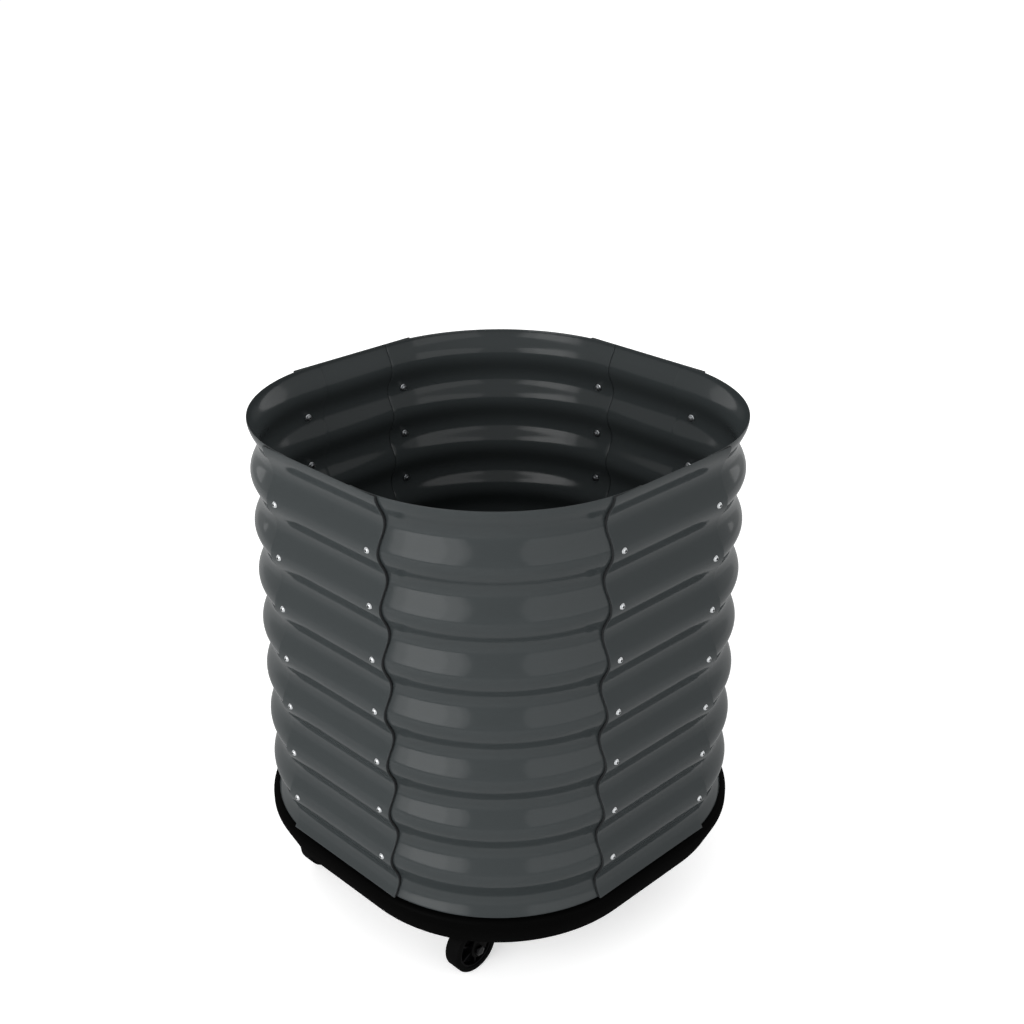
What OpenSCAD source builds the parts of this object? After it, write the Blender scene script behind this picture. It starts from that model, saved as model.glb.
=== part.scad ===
// Rolling planter: a ring of eight corrugated steel panels, screwed together
// through black seal strips, standing on a moulded tray with four swivel casters.
// Millimetres, +Z up. The origin is on the floor, under the middle of the ring.
// +X is the right side and -Y the front.

/* [Panel ring] */
// Width across two opposite side panels, over their crests
ring_w = 621.2; // [590:0.2:660]
// How far a side panel laps over the bend of the corner panel at each end
lap_l = 38.6; // [32:0.2:46]
// Radius of a corner panel's bend, over its crests
corner_r = 238; // [230:1:244]
// Length of the flat at each end of a corner panel
flat_l = 8; // [2:1:16]
// Thickness of the steel sheet
sheet_t = 1; // [0.8:0.1:1.4]
// Gap between a side panel and the flat of the corner panel behind it
sheet_gap = 0.5; // [0.2:0.1:1]

/* [Corrugation] */
// Height of one wave, from crest to crest
pitch = 76.2; // [66:0.2:84]
// Number of waves from the crest below the foot to the crest at the rim
waves = 8; // [4:1:9]
// Depth of the corrugation, from crest to valley
wave_d = 13; // [9:0.2:18]
// Height of the sheet's cut foot above the crest line below it
foot_cut = 14; // [6:0.5:18]

/* [Seams] */
// Width of the seal strip that lies behind a side panel's edge
strip_w = 8; // [5:0.5:10]
// Width of seal strip left showing beside a side panel
strip_proud = 0.4; // [0.2:0.1:2]
// Distance from a side panel's edge to its column of screws
screw_edge = 17.7; // [14:0.1:22]
// Diameter of a panel screw
screw_d = 5; // [4:0.5:6]
// Diameter of a panel screw's domed head
screw_head_d = 8.8; // [8:0.2:11]
// Height of a panel screw's domed head
screw_head_h = 2.8; // [2.2:0.1:3.6]
// Width across the flats of a panel nut
nut_af = 8; // [8:0.5:10]
// Diameter of a panel nut's flange
nut_flange_d = 11; // [10:0.5:14]
// Height of a panel nut
nut_h = 4; // [3.5:0.1:6]

/* [Tray] */
// Height of the tray's deck above the floor
deck_h = 139; // [131:1:160]
// Thickness of the deck
deck_t = 4; // [3:0.5:6]
// How far the tray's edge stands outside the crests of the side panels
tray_proud = 4; // [2:0.1:6]
// Radius of the rounded edge of the deck
shoulder_r = 7.5; // [3:0.5:8]
// Height of the upright band round the tray, with its rounded edge
band_h = 16; // [12:0.5:20]
// Height of the lower edge of the skirt above the floor
skirt_z = 92.5; // [84:0.5:98]
// How far the skirt draws in from the band to its lower edge
skirt_in = 14.6; // [6:0.1:20]
// Thickness of the skirt
skirt_t = 4.5; // [3:0.5:6]
// Height of the rib that keeps the ring of panels in place
locating_h = 4; // [3:0.5:6]
// Thickness of the ribs
rib_t = 3; // [2:0.5:4]
// Depth of the ribs under the deck
rib_h = 12; // [8:1:12]
// Diameter of a drain hole
drain_d = 10; // [6:1:16]

/* [Casters] */
// Distance of a swivel axis from the crests of the side panel at its left or right
caster_in_x = 146.6; // [140:0.2:160]
// Distance of a swivel axis from the crests of the side panel in front of it or behind it
caster_in_y = 126.6; // [120:0.2:140]
// Diameter of a wheel over its tyre
wheel_d = 75; // [64:1:82]
// Clearance between the tyre and the crown of the fork
crown_gap = 9.68; // [8.5:0.02:12]
// Width of a tyre
tyre_w = 24; // [18:1:28]
// Thickness of a tyre
tyre_t = 8; // [5:0.5:10]
// Radius of the tyre's shoulders
tyre_edge_r = 2; // [1:0.5:4.5]
// How far a wheel's hub stands out at each side of the tyre
hub_side = 1; // [0.5:0.5:3]
// Diameter of a wheel's hub
hub_d = 20; // [16:1:24]
// Distance from the swivel axis back to the wheel's axle
trail = 34; // [30:1:38]
// Diameter of the axle bolt
axle_d = 8; // [6:0.5:10]
// Diameter of the kingpin
kingpin_d = 12; // [8:1:12]
// Diameter of a bearing ball
ball_d = 6; // [5:0.5:6]
// Thickness of the fork's steel
fork_t = 2.5; // [2:0.1:3]
// Length of the caster's plate from left to right
plate_x = 66; // [64:1:76]
// Length of the caster's plate from front to back
plate_y = 94; // [92:1:104]
// Thickness of the caster's plate
plate_t = 2.8; // [2:0.1:4]
// Distance between the plate's holes from left to right
hole_x = 46; // [44:1:50]
// Distance between the plate's holes from front to back
hole_y = 74; // [72:1:78]
// Diameter of the screws that hold the plate
plate_screw_d = 6; // [5:0.5:7]
// Length of a plate screw's thread that the tray holds
plate_screw_grip = 20; // [14:1:26]

/* [Brakes] */
// Clearance between a brake pedal and each leg of its fork
pedal_side = 1.3; // [0.5:0.1:4]
// Distance from the pedal's pivot to the end of its toe
pedal_l = 38; // [30:1:44]
// Diameter of the pedal's pivot pin
pedal_pin_d = 5; // [4:0.5:6]
// Distance of the pivot pin behind the wheel's axle
pivot_back = 14; // [12:0.5:16]
// Height of the pivot pin's middle above the top of the tyre
pivot_up = 4.48; // [4:0.02:5]
// Clearance between the tyre and the pedal's shoe with the brake off
shoe_gap = 3.92; // [3.5:0.02:5]

/* [Hidden] */
$fn = 64;
wave_steps = 12;            // straight steps in one wave of a sheet
screw_gap = 0.25;           // clearance of a screw in the sheets that it passes
seat_gap = 0.05;            // clearance of a nut on the curve of a crest
thread_gap = 0.02;          // clearance of a thread or pin in what grips it
run_gap = 0.08;             // radial clearance of an axle or kingpin that turns
face_gap = 0.3;             // clearance between faces that move past each other
locating_gap = 0.5;         // clearance of the locating rib inside the sheets
screw_spare = 2;            // length of screw that stands out of a nut
strip_gap = 0.05;           // clearance of a seal strip at the sheet behind it

CORNERS = ["back_right", "back_left", "front_left", "front_right"];
SIDES = ["right", "back", "left", "front"];
BRAKED = [0, 1];            // the casters that have a brake, as places in CORNERS

// ---- The ring in plan: four flat sides and four round corners

side_out = ring_w / 2;                    // a side panel's crests
corner_in = sheet_t + sheet_gap;          // a corner panel's flats lie this far inside them
corner_out = side_out - corner_in;        // crests of a corner panel's flats
bend_c = corner_out - corner_r;           // centre of a corner's bend, in x and in y
half_side = bend_c + lap_l;               // a side panel's edges

// How far out the bend of radius r lies, at a distance y along the side
function bend_x(r, y) = bend_c + sqrt(r * r - pow(y - bend_c, 2));

// ---- Heights

crest_z = deck_h - foot_cut;              // the crest line below the sheets' foot
rim_z = crest_z + waves * pitch;
screw_rows = [for (k = [1 : waves - 1]) crest_z + k * pitch];
screw_y = half_side - screw_edge;

// How far the sheet lies inside its crests, at a height z above a crest
function inset(z) = wave_d / 2 * (1 - cos(360 * z / pitch));
wave_step = pitch / wave_steps;
sheet_heights = concat(
  [foot_cut],
  [for (i = [floor(foot_cut / wave_step) + 1 : waves * wave_steps]) i * wave_step]
);

// Section of a corrugated band: crests at x = out, thickness t, y is the height
module wave_band(out, t) {
  n = len(sheet_heights) - 1;
  polygon(concat(
    [for (i = [0 : n]) [out - inset(sheet_heights[i]), crest_z + sheet_heights[i]]],
    [for (i = [n : -1 : 0]) [out - t - inset(sheet_heights[i]), crest_z + sheet_heights[i]]]
  ));
}

// Draws a section along a straight run that ends at y = y1 and is l long
module straight_run(x, y1, l) {
  translate([x, y1, 0]) rotate([90, 0, 0]) linear_extrude(l) children();
}

// The two ends of a corner, mirrored about its middle
module both_ends() {
  children();
  mirror([1, -1, 0]) children();
}

// Draws a section round one corner
module corner_bend() {
  translate([bend_c, bend_c, 0]) rotate_extrude(angle = 90) translate([corner_r, 0]) children();
}

module each_quarter() {
  for (q = [0 : 3]) rotate([0, 0, 90 * q]) children();
}

// ---- Screws of the panel ring

// The nut's flange stands off the hollow of a crest, which also bends away along the side
nut_x = bend_x(corner_r - sheet_t - inset(nut_flange_d / 2), screw_y + nut_flange_d / 6) - seat_gap;
nut_seat = side_out - nut_x;
screw_l = nut_seat + nut_h + screw_spare;

// Puts a child at each screw of the side y = screw_y of a side panel, along -X
module screw_column(y) {
  for (z = screw_rows) translate([side_out, y, z]) rotate([0, -90, 0]) children();
}

module screw_bores(y) {
  screw_column(y) translate([0, 0, -1]) cylinder(h = nut_seat + 2, d = screw_d + 2 * screw_gap);
}

module panel_screw() {
  difference() {
    union() {
      cylinder(h = screw_l, d = screw_d);
      rotate([180, 0, 0]) rotate_extrude() intersection() {
        dome_r = (pow(screw_head_d / 2, 2) + pow(screw_head_h, 2)) / (2 * screw_head_h);
        translate([0, screw_head_h - dome_r]) circle(r = dome_r);
        square([screw_head_d / 2, screw_head_h]);
      }
    }
    translate([0, 0, -screw_head_h - 1]) cylinder(h = screw_head_h * 0.6 + 1, d = screw_d * 0.65, $fn = 6);
  }
}

module panel_nut() {
  difference() {
    union() {
      cylinder(h = nut_h, d = nut_af / cos(30), $fn = 6);
      cylinder(h = nut_h * 0.3, d = nut_flange_d);
    }
    translate([0, 0, -1]) cylinder(h = nut_h + 2, d = screw_d + 2 * thread_gap);
  }
}

module ring_screws() {
  color("#c9ccce") each_quarter() for (y = [-screw_y, screw_y]) screw_column(y) panel_screw();
}

module ring_nuts() {
  color("#9ea2a5") each_quarter()
    for (y = [-screw_y, screw_y]) screw_column(y) translate([0, 0, nut_seat]) panel_nut();
}

// ---- Sheets and seals

module side_panel() {
  color("#444a4c") difference() {
    straight_run(side_out, half_side, 2 * half_side) wave_band(0, sheet_t);
    for (y = [-screw_y, screw_y]) screw_bores(y);
  }
}

module corner_panel() {
  color("#444a4c") difference() {
    union() {
      corner_bend() wave_band(0, sheet_t);
      both_ends() straight_run(corner_out, bend_c, flat_l) wave_band(0, sheet_t);
    }
    both_ends() screw_bores(screw_y);
  }
}

// The strips fill the gap that opens between the flat sheet and the bent one
strip_t = side_out - sheet_t - bend_x(corner_r, half_side - strip_w) - strip_gap;

module seal_strips() {
  color("#17191a") both_ends()
    straight_run(side_out, half_side + strip_proud, strip_w + strip_proud) wave_band(-sheet_t, strip_t);
}

// ---- Base tray

tray_out = corner_in + tray_proud;                // the band, outside the corner panels' crests
band_z = deck_h - band_h;
rib_face = -(sheet_t + inset(foot_cut + locating_h) + locating_gap);
deck_in = rib_face - rib_t - 2;                   // the swept edge of the deck reaches in to here
rib_reach = tray_out - skirt_t + 0.5;             // the ribs end inside the wall of the band

// A rib as thin as the others keeps the sheets' feet from sliding on the deck
module tray_section() {
  shoulder_steps = 6;
  polygon(concat(
    [[deck_in, deck_h - deck_t], [deck_in, deck_h]],
    [[rib_face - rib_t, deck_h], [rib_face - rib_t, deck_h + locating_h]],
    [[rib_face, deck_h + locating_h], [rib_face, deck_h]],
    [for (i = [0 : shoulder_steps]) let (a = 90 - 90 * i / shoulder_steps)
      [tray_out - shoulder_r * (1 - cos(a)), deck_h - shoulder_r * (1 - sin(a))]],
    [[tray_out, band_z], [tray_out - skirt_in, skirt_z]],
    [[tray_out - skirt_in - skirt_t, skirt_z], [tray_out - skirt_t, band_z]],
    [[tray_out - skirt_t, deck_h - deck_t]]
  ));
}

// The ring's outline in plan, set off by the distance off from the corner panels' crests
module plan(off) {
  w = corner_out + off;
  square([2 * w, 2 * bend_c], center = true);
  square([2 * bend_c, 2 * w], center = true);
  for (x = [-bend_c, bend_c], y = [-bend_c, bend_c])
    translate([x, y]) circle(r = corner_r + off, $fn = 180);
}

caster_x = side_out - caster_in_x;
caster_y = side_out - caster_in_y;
function caster_sign(q) = [q == 0 || q == 3 ? 1 : -1, q < 2 ? 1 : -1];
tower_d = plate_screw_d + 10;                     // 5 mm of plastic round each screw

// The places of the plate's four screws
module plate_holes() {
  for (x = [-1, 1], y = [-1, 1]) translate([x * hole_x / 2, y * hole_y / 2, 0]) children();
}

module each_caster() {
  for (q = [0 : 3]) let (s = caster_sign(q)) translate([s[0] * caster_x, s[1] * caster_y, 0]) children();
}

rib_lines_x = [0, caster_x - hole_x, caster_x - hole_x / 2, caster_x + hole_x / 2];
rib_lines_y = [0, caster_y - hole_y, caster_y - hole_y / 2, caster_y + hole_y / 2];
drain_x = [for (i = [0 : 1]) (i + 0.5) * (rib_lines_x[1]) / 2];
drain_y = [for (i = [0 : 1]) (i + 0.5) * (rib_lines_y[1]) / 2];

module tray_ribs() {
  z0 = deck_h - deck_t - rib_h;
  h = rib_h + deck_t / 2;
  long = 2 * ring_w;
  intersection() {
    translate([0, 0, z0]) linear_extrude(h) plan(rib_reach);
    union() for (s = [-1, 1]) {
      for (x = rib_lines_x) translate([s * x - rib_t / 2, -long / 2, z0]) cube([rib_t, long, h]);
      for (y = rib_lines_y) translate([-long / 2, s * y - rib_t / 2, z0]) cube([long, rib_t, h]);
    }
  }
}

// Four towers take the plate's screws, joined by deeper ribs that the plate bears on
module caster_seat() {
  top = deck_h - deck_t / 2;
  plate_holes() translate([0, 0, caster_h]) cylinder(h = top - caster_h, d = tower_d);
  for (s = [-1, 1]) {
    translate([s * hole_x / 2 - rib_t / 2, -hole_y / 2, caster_h]) cube([rib_t, hole_y, top - caster_h]);
    translate([-hole_x / 2, s * hole_y / 2 - rib_t / 2, caster_h]) cube([hole_x, rib_t, top - caster_h]);
  }
}

module base_tray() {
  color("#0d0e0f") difference() {
    union() {
      each_quarter() {
        straight_run(corner_out, bend_c, 2 * bend_c) tray_section();
        corner_bend() tray_section();
      }
      translate([0, 0, deck_h - deck_t]) linear_extrude(deck_t) plan(rib_face - rib_t);
      tray_ribs();
      each_caster() caster_seat();
    }
    each_caster() plate_holes()
      translate([0, 0, caster_h - 1])
        cylinder(h = plate_screw_grip + screw_spare + 1, d = plate_screw_d + 2 * thread_gap);
    for (x = drain_x, y = drain_y, sx = [-1, 1], sy = [-1, 1])
      translate([sx * x, sy * y, deck_h - deck_t - 1]) cylinder(h = deck_t + 2, d = drain_d);
  }
}

// ---- Casters: each is drawn round its swivel axis, trailing towards -Y

axle_z = wheel_d / 2;
crown_under = wheel_d + crown_gap;
crown_t = 3;
crown_top = crown_under + crown_t;
ball_show = ball_d * 0.42;                        // gap that the balls keep between their tracks
ball_ring_r = 17;
ball_z = crown_top + ball_show / 2;
race_under = crown_top + ball_show;
race_h = 7;
race_d = 50;
plate_under = race_under + race_h;
caster_h = plate_under + plate_t;                 // the top of the plate
washer_t = 1.6;
plate_screw_l = washer_t + plate_t + plate_screw_grip;
hub_w = tyre_w + 2 * hub_side;
leg_in = hub_w / 2 + face_gap;
leg_out = leg_in + fork_t;
bolt_af = axle_d * 13 / 8;
pin_head_h = 3.5;

module rounded_rect(x, y, r) {
  square([x - 2 * r, y], center = true);
  square([x, y - 2 * r], center = true);
  for (sx = [-1, 1], sy = [-1, 1]) translate([sx * (x / 2 - r), sy * (y / 2 - r)]) circle(r = r);
}

// A flat link with round ends of radius r1 at p1 and r2 at p2, and straight tangent sides
module taper_link(p1, r1, p2, r2) {
  d = p2 - p1;
  a = atan2(d[1], d[0]);
  t = acos((r1 - r2) / norm(d));
  translate(p1) circle(r = r1);
  translate(p2) circle(r = r2);
  polygon([p1 + r1 * [cos(a + t), sin(a + t)], p2 + r2 * [cos(a + t), sin(a + t)],
           p2 + r2 * [cos(a - t), sin(a - t)], p1 + r1 * [cos(a - t), sin(a - t)]]);
}

// Draws an outline given in y and z as a plate that is t thick, from x = x0
module side_plate(x0, t) {
  translate([x0, 0, 0]) rotate([90, 0, 90]) linear_extrude(t) children();
}

// Puts a child, drawn along +Z, on the axle and along +X
module on_axle() {
  translate([0, -trail, axle_z]) rotate([0, 90, 0]) children();
}

module track_groove() {
  translate([0, 0, ball_z]) rotate_extrude() translate([ball_ring_r, 0]) circle(d = ball_d + face_gap);
}

module caster_plate() {
  color("#1c1e20") translate([0, 0, plate_under]) linear_extrude(plate_t) difference() {
    rounded_rect(plate_x, plate_y, 8);
    plate_holes() circle(d = plate_screw_d + 2 * screw_gap);
    circle(d = kingpin_d + 2 * thread_gap);
  }
}

module caster_race() {
  color("#26282a") difference() {
    translate([0, 0, race_under]) rotate_extrude() polygon([
      [kingpin_d / 2 + 1, 0], [race_d / 2 - 2, 0], [race_d / 2, 2],
      [race_d / 2, race_h], [kingpin_d / 2 + 1, race_h]
    ]);
    track_groove();
  }
}

module caster_balls() {
  ball_n = 14;
  color("#c9ccce") for (i = [0 : ball_n - 1]) rotate([0, 0, 360 * i / ball_n])
    translate([ball_ring_r, 0, ball_z]) sphere(d = ball_d, $fn = 24);
}

module caster_kingpin() {
  low = crown_under - face_gap - pin_head_h;
  color("#5a5e61") union() {
    translate([0, 0, low]) cylinder(h = caster_h - low, d = kingpin_d);
    translate([0, 0, low]) cylinder(h = pin_head_h, d = kingpin_d + 8);
    translate([0, 0, caster_h]) cylinder(h = 2.5, d = kingpin_d + 6);
  }
}

// The axle, the brake pedal's pivot and its shoe, in y and z
axle = [-trail, axle_z];
shoe_r = 3;
shoe_angle = 129.08;                              // where the shoe lies round the axle, from +Y up
pivot = [-trail - pivot_back, wheel_d + pivot_up];
shoe = axle + (wheel_d / 2 + shoe_gap + shoe_r) * [cos(shoe_angle), sin(shoe_angle)];

// A leg narrows from its root under the crown, a rounded block, to a round eye at the axle
module leg_outline(braked) {
  eye_r = 12;
  root_r = 7;
  root_z = crown_under - root_r;
  front_root = [12, root_z];
  back_root = [-trail + 12, root_z];
  root_l = front_root[0] - back_root[0] + 2 * root_r;
  taper_link(axle, eye_r, back_root, root_r);
  taper_link(axle, eye_r, front_root, root_r);
  polygon([axle, back_root, front_root]);
  translate([back_root[0] - root_r, root_z]) square([root_l, crown_top - root_z]);
  if (braked) taper_link(pivot, 5, back_root, root_r);
}

module caster_fork(braked) {
  fork_w = 2 * leg_out;
  color("#1c1e20") difference() {
    union() {
      translate([0, 0, crown_under]) cylinder(h = crown_t, d = race_d + 4);
      translate([-leg_out, -trail + 5, crown_under]) cube([fork_w, trail, crown_t]);
      side_plate(leg_in, fork_t) leg_outline(braked);
      side_plate(-leg_out, fork_t) leg_outline(braked);
    }
    translate([0, 0, crown_under - 1]) cylinder(h = crown_t + 2, d = kingpin_d + 2 * run_gap);
    track_groove();
    on_axle() translate([0, 0, -leg_out - 1]) cylinder(h = fork_w + 2, d = axle_d + 2 * screw_gap);
    if (braked)
      side_plate(-leg_out - 1, fork_w + 2) translate(pivot) circle(d = pedal_pin_d + 2 * thread_gap);
  }
}

rim_r = wheel_d / 2 - tyre_t;

module caster_wheel() {
  spokes = 6;
  spoke_t = 3;
  web_t = 4;
  rim_t = 3;
  color("#141516") on_axle() difference() {
    union() {
      cylinder(h = hub_w, d = hub_d, center = true);
      cylinder(h = web_t, r = rim_r - 1, center = true);
      rotate_extrude() translate([rim_r - rim_t, -tyre_w / 2 + 1]) square([rim_t, tyre_w - 2]);
      for (i = [0 : spokes - 1]) rotate([0, 0, 360 * i / spokes])
        translate([hub_d / 2 - 1, -spoke_t / 2, -tyre_w / 2 + 3])
          cube([rim_r - hub_d / 2 - 1, spoke_t, tyre_w - 6]);
    }
    cylinder(h = hub_w + 2, d = axle_d + 2 * run_gap, center = true);
  }
}

module caster_tyre() {
  flat_w = tyre_w - 2 * tyre_edge_r;
  color("#101112") on_axle() rotate_extrude() {
    translate([rim_r, -tyre_w / 2]) square([tyre_t - tyre_edge_r, tyre_w]);
    translate([rim_r, -flat_w / 2]) square([tyre_t, flat_w]);
    for (s = [-1, 1]) translate([rim_r + tyre_t - tyre_edge_r, s * flat_w / 2]) circle(r = tyre_edge_r);
  }
}

axle_nut_h = axle_d * 0.85;

module axle_bolt() {
  head_h = axle_d * 0.62;
  color("#b4b8bb") on_axle() union() {
    translate([0, 0, -leg_out - axle_nut_h - 2]) cylinder(h = 2 * leg_out + axle_nut_h + 2, d = axle_d);
    translate([0, 0, leg_out]) cylinder(h = head_h, d = bolt_af / cos(30), $fn = 6);
  }
}

module axle_nut() {
  color("#b4b8bb") on_axle() translate([0, 0, -leg_out - axle_nut_h]) difference() {
    union() {
      translate([0, 0, axle_nut_h * 0.25]) cylinder(h = axle_nut_h * 0.75, d = bolt_af / cos(30), $fn = 6);
      cylinder(h = axle_nut_h, d = bolt_af * 0.9);
    }
    translate([0, 0, -1]) cylinder(h = axle_nut_h + 2, d = axle_d + 2 * thread_gap);
  }
}

module plate_screw() {
  translate([0, 0, -washer_t]) cylinder(h = plate_screw_l, d = plate_screw_d);
  translate([0, 0, -washer_t - 4]) cylinder(h = 4, d = plate_screw_d * 10 / 6 / cos(30), $fn = 6);
}

module plate_screws() {
  color("#9ea2a5") each_caster() plate_holes() translate([0, 0, plate_under]) plate_screw();
}

module plate_washers() {
  color("#9ea2a5") each_caster() plate_holes() translate([0, 0, plate_under - washer_t]) difference() {
    cylinder(h = washer_t, d = plate_screw_d * 2.1);
    translate([0, 0, -1]) cylinder(h = washer_t + 2, d = plate_screw_d + 2 * screw_gap);
  }
}

// ---- Brake: a pedal on a pin through the fork, whose shoe comes down on the tyre

// Points of an arc round c, from angle a0 to a1
function arc(c, r, a0, a1) = [for (i = [0 : 8]) let (a = a0 + (a1 - a0) * i / 8) c + r * [cos(a), sin(a)]];

module pedal_outline() {
  toe_r = 2;
  toe_up = 5;
  eye_r = 4.5;
  toe = pivot + [-pedal_l, toe_up];
  polygon(concat(
    arc(pivot, eye_r, -110, 90),
    arc(toe, toe_r, 90, 270),
    [pivot + [-15, 1.5]],
    arc(shoe, shoe_r, 160, 290)
  ));
}

module brake_pedal() {
  pedal_w = 2 * (leg_in - pedal_side);
  color("#17181a") difference() {
    side_plate(-pedal_w / 2, pedal_w) pedal_outline();
    side_plate(-pedal_w / 2 - 1, pedal_w + 2) translate(pivot) circle(d = pedal_pin_d + 2 * run_gap);
  }
}

module brake_pin() {
  color("#9ea2a5") union() {
    side_plate(-leg_out - 2, 2 * leg_out + 4) translate(pivot) circle(d = pedal_pin_d);
    for (x = [-leg_out - 2, leg_out]) side_plate(x, 2) translate(pivot) circle(d = pedal_pin_d + 3);
  }
}

// ---- Assembly

for (q = [0 : 3]) {
  rotate([0, 0, 90 * q]) corner_panel();
  rotate([0, 0, 90 * q]) side_panel();
  rotate([0, 0, 90 * q]) seal_strips();
}
ring_screws();  // panel_screws
ring_nuts();  // panel_nuts
base_tray();
plate_screws();
plate_washers();
for (q = [0 : 3]) let (s = caster_sign(q), c = CORNERS[q]) translate([s[0] * caster_x, s[1] * caster_y, 0]) {
  caster_plate();
  caster_race();
  caster_balls();
  caster_kingpin();
  caster_fork(len(search(q, BRAKED)) > 0);
  caster_wheel();
  caster_tyre();
  axle_bolt();
  axle_nut();
}
for (q = BRAKED) let (s = caster_sign(q), c = CORNERS[q]) translate([s[0] * caster_x, s[1] * caster_y, 0]) {
  brake_pedal();
  brake_pin();
}
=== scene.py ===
# %% [markdown]
# # A rolling planter, dressed piece by piece
#
# The planter is a ring of eight corrugated steel sheets on a moulded tray with
# four swivel casters. Its exact solids come packed from a CAD model. This
# lesson keeps their places and sizes, and models each visible piece again with
# rounder edges and smoother bends, so that it catches light as the real one does.
#
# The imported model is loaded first. It is the frame: nothing in it is moved.

import math

import bmesh
import bpy
from mathutils import Matrix, Vector


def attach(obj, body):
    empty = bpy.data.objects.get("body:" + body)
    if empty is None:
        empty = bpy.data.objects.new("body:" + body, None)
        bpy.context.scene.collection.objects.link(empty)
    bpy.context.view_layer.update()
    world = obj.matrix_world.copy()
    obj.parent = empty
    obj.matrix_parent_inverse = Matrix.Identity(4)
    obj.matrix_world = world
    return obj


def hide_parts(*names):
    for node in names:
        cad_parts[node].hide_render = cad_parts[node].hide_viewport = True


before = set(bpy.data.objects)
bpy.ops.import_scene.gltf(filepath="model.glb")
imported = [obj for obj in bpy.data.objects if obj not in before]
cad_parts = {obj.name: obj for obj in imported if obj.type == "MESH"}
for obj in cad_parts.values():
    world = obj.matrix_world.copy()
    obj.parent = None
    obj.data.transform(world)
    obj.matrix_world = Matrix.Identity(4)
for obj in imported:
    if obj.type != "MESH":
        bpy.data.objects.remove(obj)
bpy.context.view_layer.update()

# %% [markdown]
# ## The sizes
#
# Sizes are written in millimetres, as a maker would read them off a drawing,
# and turned into metres by one factor. They repeat the CAD model's sizes, so
# that each new piece falls on the solid that it stands for.

# %% Sizes of the ring of sheets
MM = 0.001

SIDE_CREST = 310.6 * MM  # crests of a side panel, from the middle
CORNER_CREST = 309.1 * MM  # crests of a corner panel's flat ends
BEND_CENTRE = 71.1 * MM  # centre of a corner's bend, in x and in y
BEND_RADIUS = 238 * MM
HALF_SIDE = 109.7 * MM  # half the length of a side panel
FLAT_END = 8 * MM
SHEET = 1 * MM

PITCH = 76.2 * MM
WAVE_DEPTH = 13 * MM
CREST_LINE = 125 * MM  # a crest of the wave, below the sheets' foot
DECK = 139 * MM  # the sheets stand on the deck of the tray
RIM = 734.6 * MM
SCREW_Y = 92 * MM
SCREW_HEIGHTS = [CREST_LINE + crest * PITCH for crest in range(1, 8)]

CORNERS = ["back_right", "back_left", "front_left", "front_right"]
SIDES = ["right", "back", "left", "front"]
print(f"ring {2 * SIDE_CREST / MM:.0f} mm wide, rim at {RIM / MM:.0f} mm")

# %% [markdown]
# ## Materials
#
# Every finish below is built from nodes. One small function adds a node with
# its settings and links. Colours are written as the hex values that a paint
# chart gives, and turned into the linear values that a renderer adds up.


# %% Colours and nodes
def paint(hex_code):
    """Linear colour of an sRGB hex value such as 444A4C."""
    channels = [int(hex_code[i : i + 2], 16) / 255 for i in (0, 2, 4)]
    return [c / 12.92 if c <= 0.04045 else ((c + 0.055) / 1.055) ** 2.4 for c in channels] + [1]


def add_node(tree, kind, settings=None, **inputs):
    """Adds a node. Settings are its properties; inputs are socket values or other sockets."""
    node = tree.nodes.new(kind)
    for name, value in (settings or {}).items():
        setattr(node, name, value)
    for name, value in inputs.items():
        socket = node.inputs[int(name[1:]) if name[0] == "_" else name.replace("_", " ")]
        if isinstance(value, bpy.types.NodeSocket):
            tree.links.new(value, socket)
        else:
            socket.default_value = value
    return node


def new_material(name):
    """A material with nothing in it but a surface shader and its output."""
    material = bpy.data.materials.new(name)
    material.use_nodes = True
    tree = material.node_tree
    tree.nodes.clear()
    shader = add_node(tree, "ShaderNodeBsdfPrincipled")
    add_node(tree, "ShaderNodeOutputMaterial", Surface=shader.outputs["BSDF"])
    return material, tree, shader


def grain_scale(millimetres):
    """Noise scale whose blobs are about that size, on coordinates in metres."""
    return 1 / (millimetres * MM)


# %% [markdown]
# ### Powder coat on steel
#
# The sheets are powder coated: dry paint is blown on and baked until it flows
# into a hard satin skin. It never flows quite level, so it keeps a faint orange
# peel a few millimetres across, and the roughness drifts a little from place to
# place. The colour is very even.
#
# To the eye it has two layers. The pigment scatters light and has no gloss of
# its own, so the shader's own specular is off. Over it lies a thin clear skin,
# which is the shader's coat. A coat of full weight would look like lacquer, so
# a weight below one makes it satin. The casters' black coat has less of it.


# %% Powder coat
DRIFT_MM = 180  # how far apart the coat's tone and gloss differ


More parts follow.
